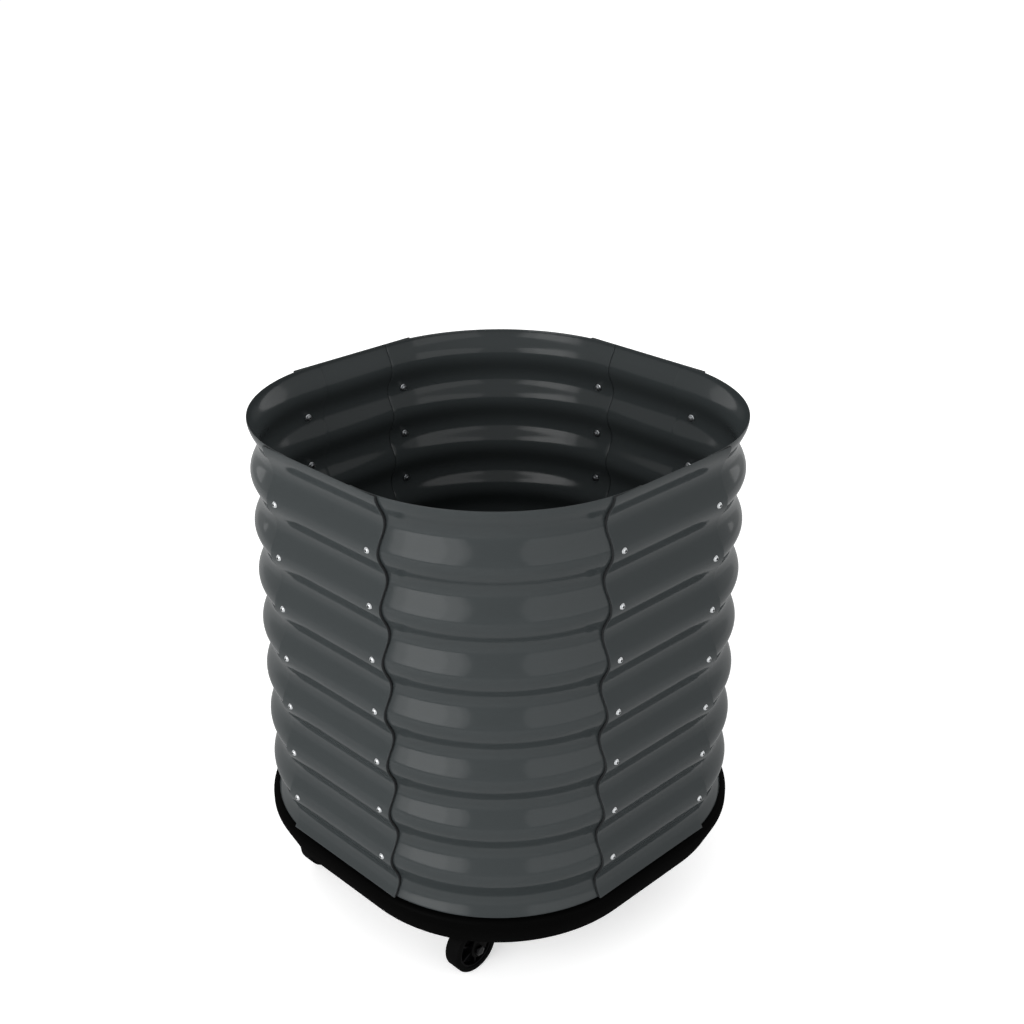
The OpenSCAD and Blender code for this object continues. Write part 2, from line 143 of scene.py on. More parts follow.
def powder_coat(name, dark, light, roughness, peel_mm, peel_depth_mm, skin):
    """Pigment under a clear skin; skin is its share of a full coat."""
    material, tree, shader = new_material(name)
    place = add_node(tree, "ShaderNodeTexCoord").outputs["Object"]
    drift = add_node(
        tree, "ShaderNodeTexNoise", Vector=place, Scale=grain_scale(DRIFT_MM), Detail=3.0
    )
    colour = add_node(
        tree,
        "ShaderNodeMix",
        {"data_type": "RGBA"},
        _0=drift.outputs["Fac"],
        _6=paint(dark),
        _7=paint(light),
    )
    tree.links.new(colour.outputs[2], shader.inputs["Base Color"])
    rough = add_node(
        tree,
        "ShaderNodeMapRange",
        Value=drift.outputs["Fac"],
        _1=0.3,
        _2=0.7,
        _3=roughness - 0.03,
        _4=roughness + 0.03,
    )
    tree.links.new(rough.outputs[0], shader.inputs["Roughness"])
    peel = add_node(
        tree, "ShaderNodeTexNoise", Vector=place, Scale=grain_scale(peel_mm), Detail=1.0
    )
    depth = peel_depth_mm * MM
    bump = add_node(
        tree, "ShaderNodeBump", Height=peel.outputs["Fac"], Distance=depth, Strength=1.0
    )
    tree.links.new(bump.outputs[0], shader.inputs["Normal"])
    tree.links.new(bump.outputs[0], shader.inputs["Coat Normal"])
    tree.links.new(rough.outputs[0], shader.inputs["Coat Roughness"])
    shader.inputs["Specular IOR Level"].default_value = 0.0
    shader.inputs["Coat Weight"].default_value = skin
    return material


slate_powder_coat = powder_coat("slate_powder_coat", "323637", "35393A", 0.12, 3.0, 0.003, 0.28)
black_powder_coat = powder_coat("black_powder_coat", "070707", "090909", 0.35, 1.6, 0.008, 0.06)
print("coats:", slate_powder_coat.name, black_powder_coat.name)

# %% [markdown]
# ### Moulded plastic and rubber
#
# The tray is polypropylene from a mould whose steel was spark eroded, which
# leaves a fine even grain. The wheels and pedals are nylon with a finer one.
# The seals and tyres are rubber, so matt that only a broad sheen is left at a
# low angle; the seals have greyed a little in the open. A real grain is a tenth
# of a millimetre across and would not show, so it is drawn about ten times
# coarser. These too are a dull body under a thin skin, with little of it.


# %% Plastic and rubber
CLOUD_MM = 60  # how far apart the gloss of a moulding differs


def moulded(name, colour, roughness, grain_mm, grain_depth_mm, skin):
    """A grained body under a clear skin; skin is its share of a full coat."""
    material, tree, shader = new_material(name)
    place = add_node(tree, "ShaderNodeTexCoord").outputs["Object"]
    grain = add_node(tree, "ShaderNodeTexVoronoi", Vector=place, Scale=grain_scale(grain_mm))
    cloud = add_node(
        tree, "ShaderNodeTexNoise", Vector=place, Scale=grain_scale(CLOUD_MM), Detail=4.0
    )
    rough = add_node(
        tree,
        "ShaderNodeMapRange",
        Value=cloud.outputs["Fac"],
        _1=0.3,
        _2=0.7,
        _3=roughness - 0.05,
        _4=roughness + 0.05,
    )
    tree.links.new(rough.outputs[0], shader.inputs["Roughness"])
    depth = grain_depth_mm * MM
    bump = add_node(
        tree, "ShaderNodeBump", Height=grain.outputs["Distance"], Distance=depth, Strength=1.0
    )
    tree.links.new(bump.outputs[0], shader.inputs["Normal"])
    shader.inputs["Base Color"].default_value = paint(colour)
    tree.links.new(rough.outputs[0], shader.inputs["Coat Roughness"])
    shader.inputs["Specular IOR Level"].default_value = 0.0
    shader.inputs["Coat Weight"].default_value = skin
    return material


tray_polypropylene = moulded("tray_polypropylene", "040404", 0.45, 1.2, 0.02, 0.02)
wheel_nylon = moulded("wheel_nylon", "050506", 0.4, 0.8, 0.01, 0.1)
seal_rubber = moulded("seal_rubber", "2B2C2D", 0.7, 0.6, 0.01, 0.05)
tyre_rubber = moulded("tyre_rubber", "050505", 0.6, 0.7, 0.02, 0.06)
print("moulded:", tray_polypropylene.name, wheel_nylon.name, seal_rubber.name, tyre_rubber.name)

# %% [markdown]
# ### Bare metal
#
# The panel screws are bright stainless steel, tumbled after they are headed.
# The nuts and screws out of sight are zinc plated, a little bluer and duller,
# with a cloudy bloom. The casters' own bolts and rivets are black zinc:
# the same plate under a dark chromate, a dull black with a metal's sheen. The
# bearing balls are ground and polished steel, the brightest of all. A metal
# keeps the default index of refraction, and its colour is in its reflection.


# %% Steel and zinc
def bare_metal(name, dark, light, roughness, cloud_mm):
    """A metal whose tone and gloss are cloudy at that size."""
    material, tree, shader = new_material(name)
    place = add_node(tree, "ShaderNodeTexCoord").outputs["Object"]
    cloud = add_node(
        tree, "ShaderNodeTexNoise", Vector=place, Scale=grain_scale(cloud_mm), Detail=4.0
    )
    colour = add_node(
        tree,
        "ShaderNodeMix",
        {"data_type": "RGBA"},
        _0=cloud.outputs["Fac"],
        _6=paint(dark),
        _7=paint(light),
    )
    tree.links.new(colour.outputs[2], shader.inputs["Base Color"])
    rough = add_node(
        tree,
        "ShaderNodeMapRange",
        Value=cloud.outputs["Fac"],
        _1=0.3,
        _2=0.7,
        _3=roughness - 0.06,
        _4=roughness + 0.06,
    )
    tree.links.new(rough.outputs[0], shader.inputs["Roughness"])
    shader.inputs["Metallic"].default_value = 1.0
    return material


stainless_steel = bare_metal("stainless_steel", "A2A4A6", "B8BABB", 0.3, 2.0)
zinc_plate = bare_metal("zinc_plate", "9DA0A4", "B9BBBC", 0.36, 4.0)
black_zinc = bare_metal("black_zinc", "0C0C0D", "131314", 0.4, 4.0)
bearing_steel = bare_metal("bearing_steel", "C9CACC", "D5D6D7", 0.12, 3.0)
print("metals:", stainless_steel.name, zinc_plate.name, black_zinc.name, bearing_steel.name)

# %% [markdown]
# ## Finishing a piece
#
# Each piece is shaped in a bmesh and finished the same way: normals outward,
# smooth faces, and creases only where two faces meet at more than 35 degrees.
# Its object stays at the origin with its place in its mesh. Then it rides on
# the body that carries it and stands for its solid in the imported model.


# %% Finish, ride, replace
CREASE = 35  # degrees


def finish_piece(bm, name, body, material, slot, *nodes):
    """Makes an object of a bmesh, which rides on a body and stands for those nodes."""
    bmesh.ops.recalc_face_normals(bm, faces=bm.faces[:])
    for face in bm.faces:
        face.smooth = True
    for edge in bm.edges:
        edge.smooth = len(edge.link_faces) == 2 and edge.calc_face_angle(0) < math.radians(CREASE)
    mesh = bpy.data.meshes.new(name)
    bm.to_mesh(mesh)
    bm.free()
    mesh.materials.append(material)
    piece = bpy.data.objects.new(name, mesh)
    bpy.context.scene.collection.objects.link(piece)
    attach(piece, body)
    if nodes:
        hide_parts(*nodes)
    return piece


def of_kind(geom, kind):
    """Only the vertices, edges or faces of what an operator returned."""
    return [part for part in geom if isinstance(part, kind)]


def soften(bm, radius, segments=2, sharper_than=50, within=None):
    """Rounds the edges at which the faces turn by more than that angle, in degrees."""
    limit = math.radians(sharper_than)
    shared = [edge for edge in (within or bm.edges) if len(edge.link_faces) == 2]
    bmesh.ops.bevel(
        bm,
        geom=[edge for edge in shared if edge.calc_face_angle(0) > limit],
        offset=radius,
        segments=segments,
        profile=0.5,
        material=-1,
        affect="EDGES",
        clamp_overlap=True,
    )


# %% [markdown]
# ## The corrugated sheets
#
# Corrugated sheet is rolled flat between waved rollers, and the corner panels
# are then bent round a form. The section is the same for all eight: a cosine
# wave, eight crests high, cut off at the foot and ending at the rim on a crest,
# which is why the rim flares out.
#
# The section could be a curve with a bevel, but a bmesh keeps every row of
# faces level. It starts from one vertex at the foot that is extruded upward,
# row by row. The line of edges is then extruded inward by the thickness of the
# sheet, which makes the cut end, and that strip is swept along the panel.


# %% The wave
WAVES = 8
ROWS_PER_WAVE = 24


def inset(z):
    """How far a sheet lies inside its crests at height z."""
    return WAVE_DEPTH / 2 * (1 - math.cos(2 * math.pi * (z - CREST_LINE) / PITCH))


def row_heights():
    """Heights of the rows of faces: the cut foot, then even steps up to the rim."""
    row = PITCH / ROWS_PER_WAVE
    first = math.floor((DECK - CREST_LINE) / row) + 1
    return [DECK] + [CREST_LINE + i * row for i in range(first, WAVES * ROWS_PER_WAVE + 1)]


def cut_end(bm, crest_x, y, thickness):
    """The cut end of a sheet: a strip of faces that follows the wave. Returns its faces."""
    heights = row_heights()
    tip = bm.verts.new((crest_x - inset(heights[0]), y, heights[0]))
    line = [tip]
    for z in heights[1:]:
        grown = bmesh.ops.extrude_vert_indiv(bm, verts=[line[-1]])["verts"][0]
        grown.co = (crest_x - inset(z), y, z)
        line.append(grown)
    strip = bmesh.ops.extrude_edge_only(bm, edges=bm.edges[:])["geom"]
    bmesh.ops.translate(bm, verts=of_kind(strip, bmesh.types.BMVert), vec=(-thickness, 0, 0))
    return of_kind(strip, bmesh.types.BMFace)


def sweep_straight(bm, faces, length, along):
    """Extrudes a strip of faces along a direction. Returns the faces at the far end."""
    swept = bmesh.ops.extrude_face_region(bm, geom=faces)["geom"]
    bmesh.ops.translate(
        bm, verts=of_kind(swept, bmesh.types.BMVert), vec=[length * part for part in along]
    )
    return of_kind(swept, bmesh.types.BMFace)


def turn_quarters(bm, quarters):
    """Turns a whole piece about the middle of the ring by that many quarter turns."""
    bmesh.ops.rotate(bm, verts=bm.verts[:], matrix=Matrix.Rotation(quarters * math.pi / 2, 3, "Z"))


print("rows up a sheet:", len(row_heights()))

# %% [markdown]
# ### Corner panels
#
# A corner panel is a short flat, a quarter turn, and another short flat. The
# flats are what the side panels lap over.

# %% Corner panels
BEND_STEPS = 48
CUT_EDGE = 0.3 * MM  # rounding of a sheet's cut edges

for quarter, corner in enumerate(CORNERS):
    bm = bmesh.new()
    end = cut_end(bm, CORNER_CREST, BEND_CENTRE - FLAT_END, SHEET)
    end = sweep_straight(bm, end, FLAT_END, (0, 1, 0))
    bent = bmesh.ops.spin(
        bm,
        geom=end,
        cent=(BEND_CENTRE, BEND_CENTRE, 0),
        axis=(0, 0, 1),
        dvec=(0, 0, 0),
        angle=math.pi / 2,
        steps=BEND_STEPS,
        use_duplicate=False,
    )
    end = of_kind(bent["geom_last"], bmesh.types.BMFace)
    sweep_straight(bm, end, FLAT_END, (-1, 0, 0))
    soften(bm, CUT_EDGE, sharper_than=60)
    turn_quarters(bm, quarter)
    name, node = f"corner_sheet_{corner}", f"corner_panel_{corner}"
    finish_piece(bm, name, "planter", slate_powder_coat, "panel_coat", node)
print("corner sheets:", len(CORNERS))

# %% [markdown]
# ### Side panels
#
# A side panel is the same section swept straight. It lies outside the corner
# panels, so its two cut ends show as fine steps beside the seals. A short run at
# each end keeps the softened edge from bending the light on the flat between.

# %% Side panels
END_RUN = 1 * MM

for quarter, side in enumerate(SIDES):
    bm = bmesh.new()
    end = cut_end(bm, SIDE_CREST, -HALF_SIDE, SHEET)
    for run in (END_RUN, 2 * (HALF_SIDE - END_RUN), END_RUN):
        end = sweep_straight(bm, end, run, (0, 1, 0))
    soften(bm, CUT_EDGE, sharper_than=60)
    turn_quarters(bm, quarter)
    name, node = f"side_sheet_{side}", f"side_panel_{side}"
    finish_piece(bm, name, "planter", slate_powder_coat, "panel_coat", node)
print("side sheets:", len(SIDES))

# %% [markdown]
# ### Seal strips
#
# Between a flat sheet and the bent one behind it a narrow gap opens. A black
# rubber strip fills it and shows as a fine dark line down each seam. It takes
# the same wave, so the same cut end is used with the strip's own thickness. A
# corner has two strips. The second is the first with its x and y swapped.

# %% Seal strips
STRIP_THICK = 2.43 * MM
STRIP_HIDDEN = 8 * MM
STRIP_PROUD = 0.4 * MM
SWAP_XY = Matrix(((0, 1, 0, 0), (1, 0, 0, 0), (0, 0, 1, 0), (0, 0, 0, 1)))

for quarter, corner in enumerate(CORNERS):
    bm = bmesh.new()
    end = cut_end(bm, SIDE_CREST - SHEET, HALF_SIDE - STRIP_HIDDEN, STRIP_THICK)
    sweep_straight(bm, end, STRIP_HIDDEN + STRIP_PROUD, (0, 1, 0))
    soften(bm, CUT_EDGE / 2, sharper_than=60)
    second = bmesh.ops.duplicate(bm, geom=bm.verts[:] + bm.edges[:] + bm.faces[:])["geom"]
    bmesh.ops.transform(bm, matrix=SWAP_XY, verts=of_kind(second, bmesh.types.BMVert))
    turn_quarters(bm, quarter)
    name, node = f"seals_{corner}", f"seal_strips_{corner}"
    finish_piece(bm, name, "planter", seal_rubber, "seal_rubber", node)
print("seal strips:", 2 * len(CORNERS))

# %% [markdown]
# ## Turned and hexagonal pieces
#
# Screws, nuts, pins, wheels and tyres are turned: a section spun round an
# axis. The section is drawn as a closed line of radius and height, and a full
# spin merges its last step with its first. An edge of the section that lies on
# the axis sweeps no face and is taken away. Hexagons are cones with six sides.


# %% Turning and hexagons
def turn(bm, section, steps=32, at=None):
    """Spins a closed section of (radius, height) points, in mm, round the Z axis."""
    before = set(bm.verts)
    corners = [bm.verts.new((r * MM, 0, z * MM)) for r, z in section]
    rim = [bm.edges.new(pair) for pair in zip(corners, corners[1:] + corners[:1])]
    bmesh.ops.spin(
        bm,
        geom=corners + rim,
        cent=(0, 0, 0),
        axis=(0, 0, 1),
        dvec=(0, 0, 0),
        angle=2 * math.pi,
        steps=steps,
        use_merge=True,
        use_duplicate=False,
    )
    made = [v for v in bm.verts if v not in before]
    bmesh.ops.remove_doubles(bm, verts=made, dist=0.00001)
    loose = [e for e in bm.edges if not e.link_faces]
    bmesh.ops.delete(bm, geom=loose, context="EDGES")
    made = [v for v in bm.verts if v not in before]
    if at:
        bmesh.ops.transform(bm, matrix=at, verts=made)
    return made


def hexagon(bm, across_flats, low, high, at=None):
    """A six-sided prism along Z, in mm, with its corners rounded off as a nut's are."""
    radius = across_flats / 2 / math.cos(math.pi / 6) * MM
    before = set(bm.verts)
    bmesh.ops.create_cone(
        bm,
        cap_ends=True,
        segments=6,
        radius1=radius,
        radius2=radius,
        depth=(high - low) * MM,
        matrix=Matrix.Translation((0, 0, (low + high) / 2 * MM)),
    )
    made = {v for v in bm.verts if v not in before}
    sides = [e for e in bm.edges if e.verts[0] in made and e.verts[1] in made]
    soften(bm, 0.35 * MM, 2, 40, sides)
    made = [v for v in bm.verts if v not in before]
    if at:
        bmesh.ops.transform(bm, matrix=at, verts=made)
    return made


def block(bm, low, high, radius=0.4, segments=2):
    """A box between two corners, in mm, with rounded edges."""
    size = [(b - a) * MM for a, b in zip(low, high)]
    centre = [(a + b) / 2 * MM for a, b in zip(low, high)]
    before = set(bm.verts)
    place = Matrix.Translation(centre) @ Matrix.Diagonal((*size, 1))
    bmesh.ops.create_cube(bm, size=1, matrix=place)
    made = {v for v in bm.verts if v not in before}
    edges = [e for e in bm.edges if e.verts[0] in made and e.verts[1] in made]
    if radius:
        soften(bm, radius * MM, segments, 40, edges)
    return [v for v in bm.verts if v not in before]


def copies(bm, places):
    """Puts what the bmesh holds at each of the places and takes the original away."""
    first = bm.verts[:] + bm.edges[:] + bm.faces[:]
    for place in places:
        copy = bmesh.ops.duplicate(bm, geom=first)["geom"]
        bmesh.ops.transform(bm, matrix=place, verts=of_kind(copy, bmesh.types.BMVert))
    bmesh.ops.delete(bm, geom=of_kind(first, bmesh.types.BMVert), context="VERTS")


# %% [markdown]
# ### Panel screws
#
# Seven screws run up each edge of each side panel, one on every crest. They
# are button heads: a low dome with a hexagon socket. The dome is turned, and
# the hexagon is bridged to its inner edge and pushed down.

# %% Places of the panel screws
outward = Matrix.Rotation(math.pi / 2, 4, "Y")
screw_places = []
for quarter in range(4):
    for y in (-SCREW_Y, SCREW_Y):
        for z in SCREW_HEIGHTS:
            seat = Matrix.Translation((SIDE_CREST, y, z))
            side = Matrix.Rotation(quarter * math.pi / 2, 4, "Z")
            screw_places.append(side @ seat @ outward)
print("places for screws:", len(screw_places))

# %% Dome of a head
HEAD_RADIUS = 4.4
HEAD_HEIGHT = 2.8
LIP_ANGLE = 26  # the dome begins this far from its top, in degrees
DOME_STEPS = 5

dome_radius = (HEAD_RADIUS**2 + HEAD_HEIGHT**2) / (2 * HEAD_HEIGHT)
edge_angle = math.degrees(math.asin(HEAD_RADIUS / dome_radius))


def dome_point(angle):
    """Radius and height on the dome, at an angle in degrees from its top."""
    a = math.radians(angle)
    return (dome_radius * math.sin(a), HEAD_HEIGHT - dome_radius * (1 - math.cos(a)))


dome_step = (edge_angle - LIP_ANGLE) / DOME_STEPS
dome = [dome_point(LIP_ANGLE + dome_step * i) for i in range(DOME_STEPS + 1)]
print(f"dome of {dome_radius:.2f} mm radius, {edge_angle:.0f} degrees to its edge")

# %% Panel screws
SHANK_RADIUS = 2.5
SHANK_LENGTH = 10.3
SOCKET_RADIUS = 1.9
SOCKET_DEPTH = 1.7

section = dome + [(HEAD_RADIUS - 0.1, 0), (SHANK_RADIUS, 0), (SHANK_RADIUS, -SHANK_LENGTH)]
bm = bmesh.new()
line = [bm.verts.new((r * MM, 0, z * MM)) for r, z in section]
line_edges = [bm.edges.new(pair) for pair in zip(line, line[1:])]
bmesh.ops.spin(
    bm,
    geom=line + line_edges,
    cent=(0, 0, 0),
    axis=(0, 0, 1),
    dvec=(0, 0, 0),
    angle=2 * math.pi,
    steps=24,
    use_merge=True,
    use_duplicate=False,
)
bmesh.ops.remove_doubles(bm, verts=bm.verts[:], dist=0.00001)
lip = [e for e in bm.edges if e.is_boundary and e.verts[0].co.z > 0]
tip = [e for e in bm.edges if e.is_boundary and e.verts[0].co.z < 0]
bmesh.ops.edgeloop_fill(bm, edges=tip)
socket = bmesh.ops.create_circle(bm, segments=6, radius=SOCKET_RADIUS * MM)["verts"]
bmesh.ops.translate(bm, verts=socket, vec=(0, 0, dome[0][1] * MM))
socket_edges = [e for e in bm.edges if all(v in socket for v in e.verts)]
bmesh.ops.bridge_loops(bm, edges=lip + socket_edges)
walls = bmesh.ops.extrude_edge_only(bm, edges=socket_edges)["geom"]
bottom = of_kind(walls, bmesh.types.BMVert)
bmesh.ops.translate(bm, verts=bottom, vec=(0, 0, -SOCKET_DEPTH * MM))
bottom_edges = [e for e in of_kind(walls, bmesh.types.BMEdge) if all(v in bottom for v in e.verts)]
bmesh.ops.edgeloop_fill(bm, edges=bottom_edges)
copies(bm, screw_places)
finish_piece(bm, "button_screws", "planter", stainless_steel, "screw_steel", "panel_screws")
print("panel screws:", len(screw_places))

# %% [markdown]
# ### Panel nuts
#
# Inside the ring each screw has a flange nut, which bears in the hollow behind
# the crest and draws the two sheets and the seal together.

# %% Panel nuts
NUT_SEAT = 4.3

bm = bmesh.new()
turn(bm, [(0, 0), (5.2, 0), (5.5, 0.3), (5.5, 0.9), (4.6, 1.4), (0, 1.4)], 24)
hexagon(bm, 8, 1.0, 4.0)
inward = Matrix.Rotation(math.pi, 4, "Y") @ Matrix.Translation((0, 0, NUT_SEAT * MM))
copies(bm, [place @ inward for place in screw_places])
finish_piece(bm, "flange_nuts", "planter", zinc_plate, "zinc_steel", "panel_nuts")
print("panel nuts:", len(screw_places))

# %% [markdown]
# ## The tray
#
# The tray is one moulding. Its outline is the ring's own: a square whose
# corners are quarter circles. A circle is made, and each quarter of it is
# moved out to its corner. Ring after ring is then drawn out from it, down the
# rounded shoulder, the upright band and the skirt, and back up inside.

# %% Section of the tray
TRAY_OUT = 5.5  # the band, outside the corner panels' crests
SHOULDER = 7.5
SHOULDER_STEPS = 6
RIB = 3.0
RIB_FACE = -7.44  # outer face of the low rib that keeps the sheets in place
DECK_TOP = DECK / MM
DECK_UNDER = DECK_TOP - 4
RIB_TOP = DECK_TOP + 4
BAND_LOW = 123.0
SKIRT_LOW = 92.5
SKIRT_IN = 14.6
WALL = 4.5

shoulder = []
for step in range(SHOULDER_STEPS + 1):
    a = math.radians(90 - 90 * step / SHOULDER_STEPS)
    in_by, down_by = SHOULDER * (1 - math.cos(a)), SHOULDER * (1 - math.sin(a))
    shoulder.append((TRAY_OUT - in_by, DECK_TOP - down_by))
section = [
    (RIB_FACE - RIB, DECK_TOP),
    (RIB_FACE - RIB, RIB_TOP),
    (RIB_FACE, RIB_TOP),
    (RIB_FACE, DECK_TOP),
    *shoulder,
    (TRAY_OUT, BAND_LOW),
    (TRAY_OUT - SKIRT_IN, SKIRT_LOW),
    (TRAY_OUT - SKIRT_IN - WALL, SKIRT_LOW),
    (TRAY_OUT - WALL, BAND_LOW),
    (TRAY_OUT - WALL, DECK_UNDER),
    (RIB_FACE - 20, DECK_UNDER),
]
print("points in the tray's section:", len(section))


# %% Rings of the tray
RING_STEPS = 192


def draw_out(bm, edges, out, up):
    """Extrudes a ring of edges to one that lies further out in plan and higher, in mm."""
    grown = bmesh.ops.extrude_edge_only(bm, edges=edges)["geom"]
    verts = set(of_kind(grown, bmesh.types.BMVert))
    for v in verts:
        middle = Vector([max(-BEND_CENTRE, min(BEND_CENTRE, part)) for part in v.co.xy])
        away = (v.co.xy - middle).normalized() * out * MM
        v.co += Vector((away.x, away.y, up * MM))
    return [e for e in of_kind(grown, bmesh.types.BMEdge) if all(v in verts for v in e.verts)]


bm = bmesh.new()
start_out, start_z = section[0]
radius = BEND_RADIUS + start_out * MM
ring = bmesh.ops.create_circle(bm, segments=RING_STEPS, radius=radius)["verts"]
bmesh.ops.rotate(bm, verts=ring, matrix=Matrix.Rotation(math.pi / RING_STEPS, 3, "Z"))
for v in ring:
    v.co.x += math.copysign(BEND_CENTRE, v.co.x)
    v.co.y += math.copysign(BEND_CENTRE, v.co.y)
    v.co.z = start_z * MM
edges = bm.edges[:]
bmesh.ops.edgeloop_fill(bm, edges=edges)
for (out_a, z_a), (out_b, z_b) in zip(section, section[1:]):
    edges = draw_out(bm, edges, out_b - out_a, z_b - z_a)
bmesh.ops.edgeloop_fill(bm, edges=edges)
bmesh.ops.recalc_face_normals(bm, faces=bm.faces[:])
soften(bm, 0.7 * MM, 3, sharper_than=55)
print("faces of the tray:", len(bm.faces))

# %% [markdown]
# ### Drain holes
#
# Sixteen drain holes go through the deck. They are cut by a Boolean modifier
# with a bmesh of pegs, and the result is read back from the evaluated object.

# %% Drain holes
DRAIN_RADIUS = 5 * MM
PEG_LENGTH = 12 * MM
DECK_MIDDLE = (DECK_TOP + DECK_UNDER) / 2
drains = [(x, y) for x in (-88.5, -29.5, 29.5, 88.5) for y in (-82.5, -27.5, 27.5, 82.5)]

drill = bmesh.new()
for x, y in drains:
    bmesh.ops.create_cone(
        drill,
        cap_ends=True,
        segments=32,
        radius1=DRAIN_RADIUS,
        radius2=DRAIN_RADIUS,
        depth=PEG_LENGTH,
        matrix=Matrix.Translation((x * MM, y * MM, DECK_MIDDLE * MM)),
    )
drill_mesh = bpy.data.meshes.new("drain_pegs")
drill.to_mesh(drill_mesh)
drill.free()
drill_object = bpy.data.objects.new("drain_pegs", drill_mesh)
tray_mesh = bpy.data.meshes.new("tray_blank")
bm.to_mesh(tray_mesh)
bm.free()
tray_blank = bpy.data.objects.new("tray_blank", tray_mesh)
for thing in (drill_object, tray_blank):
    bpy.context.scene.collection.objects.link(thing)
cut = tray_blank.modifiers.new("drains", "BOOLEAN")
cut.operation = "DIFFERENCE"
cut.solver = "EXACT"
cut.object = drill_object
evaluated = tray_blank.evaluated_get(bpy.context.evaluated_depsgraph_get())
bm = bmesh.new()
bm.from_mesh(evaluated.to_mesh())
evaluated.to_mesh_clear()
for thing in (drill_object, tray_blank):
    bpy.data.objects.remove(thing)
finish_piece(bm, "tray_shell", "planter", tray_polypropylene, "tray_plastic", "base_tray")
print("drain holes:", len(drains))

# %% [markdown]
# ### Ribs and screw bosses under the tray
#
# The deck is stiffened from below by a grid of thin ribs. Under each caster
# plate four bosses, joined by deeper ribs, reach down to take its screws.

# %% Ribs
RIBS_X = (-187, -141, -118, 0, 118, 141, 187)
RIBS_Y = (-221, -147, -110, 0, 110, 147, 221)
RIBS_LOW = 123.0
RIBS_HIGH = 136.0  # inside the deck, which they are moulded with
OFFSET = 0.05  # keeps faces of crossing ribs from lying in one plane


def reach(across):
    """Half the length of a rib at a distance across from the middle, in mm."""
    beyond = max(0.0, abs(across) - BEND_CENTRE / MM)
    return BEND_CENTRE / MM + math.sqrt((BEND_RADIUS / MM + 1.5) ** 2 - beyond**2)


bm = bmesh.new()
for x in RIBS_X:
    end = reach(x)
    block(bm, (x - RIB / 2, -end, RIBS_LOW), (x + RIB / 2, end, RIBS_HIGH), 0.5)
for y in RIBS_Y:
    end = reach(y)
    block(bm, (-end, y - RIB / 2, RIBS_LOW + OFFSET), (end, y + RIB / 2, RIBS_HIGH), 0.5)
print("ribs:", len(RIBS_X) + len(RIBS_Y))

# %% Screw bosses and the ribs that join them
CASTER_X = 164.0
CASTER_Y = 184.0
HOLE_X = 23.0
HOLE_Y = 37.0
PLATE_TOP = 100.0
BOSS = [(0, PLATE_TOP), (7.4, PLATE_TOP), (8, PLATE_TOP + 0.6), (8, RIBS_HIGH), (0, RIBS_HIGH)]
SHORT_HIGH = RIBS_HIGH - 0.5  # below the tops of the bosses, for the same reason

bosses = 0
for middle_x in (-CASTER_X, CASTER_X):
    for middle_y in (-CASTER_Y, CASTER_Y):
        left, right = middle_x - HOLE_X, middle_x + HOLE_X
        front, back = middle_y - HOLE_Y, middle_y + HOLE_Y
        for x in (left, right):
            block(bm, (x - RIB / 2, front, PLATE_TOP), (x + RIB / 2, back, SHORT_HIGH))
            for y in (front, back):
                turn(bm, BOSS, at=Matrix.Translation((x * MM, y * MM, 0)))
                bosses += 1
        for y in (front, back):
            block(bm, (left, y - RIB / 2, PLATE_TOP + OFFSET), (right, y + RIB / 2, SHORT_HIGH))
finish_piece(bm, "tray_ribs", "planter", tray_polypropylene, "tray_plastic")
print("bosses:", bosses)

# %% [markdown]
# ## The casters
#
# A caster is a plate with an upper ball track, a kingpin, and a fork that hangs
# from it on a ring of balls. The fork holds the wheel on an axle bolt, behind
# the kingpin, so that it trails. Each piece is modelled once round its swivel
# axis and placed four times, each time as a piece of its own.

# %% Places of the casters
TRAIL = 34.0
AXLE_Z = 37.5
BRAKED = ["back_right", "back_left"]
UNBRAKED = ["front_left", "front_right"]

caster_at = {
    "back_right": Matrix.Translation((CASTER_X * MM, CASTER_Y * MM, 0)),
    "back_left": Matrix.Translation((-CASTER_X * MM, CASTER_Y * MM, 0)),
    "front_left": Matrix.Translation((-CASTER_X * MM, -CASTER_Y * MM, 0)),
    "front_right": Matrix.Translation((CASTER_X * MM, -CASTER_Y * MM, 0)),
}


def along_x(y, z, x=0):
    """Lays what is drawn along Z down along X, with its origin at that place in mm."""
    return Matrix.Translation((x * MM, y * MM, z * MM)) @ Matrix.Rotation(math.pi / 2, 4, "Y")


def place_at_casters(bm, name, body, material, slot, node, corners=CORNERS):
    """Finishes one copy of a piece at each of the casters named."""
    for corner in corners:
        copy = bm.copy()
        bmesh.ops.transform(copy, matrix=caster_at[corner], verts=copy.verts[:])
        rider = f"{body}_{corner}" if body != "planter" else body
        finish_piece(copy, f"{name}_{corner}", rider, material, slot, f"{node}_{corner}")
    bm.free()


on_axle = along_x(-TRAIL, AXLE_Z)
print("casters:", len(caster_at))

# %% [markdown]
# ### Plate, race and kingpin
#
# These three stay still under the tray. The plate is stamped, so its edges are
# slightly rounded. The race is a pressed cup, and the kingpin is a rivet whose
# heads hold the plate and the crown of the fork together.

# %% Plate
PLATE_UNDER = 97.2

bm = bmesh.new()
block(bm, (-33, -47, PLATE_UNDER), (33, 47, PLATE_TOP), 0)
upright = [e for e in bm.edges if abs(e.verts[0].co.z - e.verts[1].co.z) > 1 * MM]
bmesh.ops.bevel(
    bm, geom=upright, offset=8 * MM, segments=8, profile=0.5, material=-1, affect="EDGES"
)
soften(bm, 0.5 * MM, sharper_than=60)
place_at_casters(bm, "top_plate", "planter", black_powder_coat, "caster_coat", "caster_plate")
print("plates:", len(caster_at))

# %% Race
RACE_UNDER = 90.2
RACE_TRACK = RACE_UNDER + 1.2

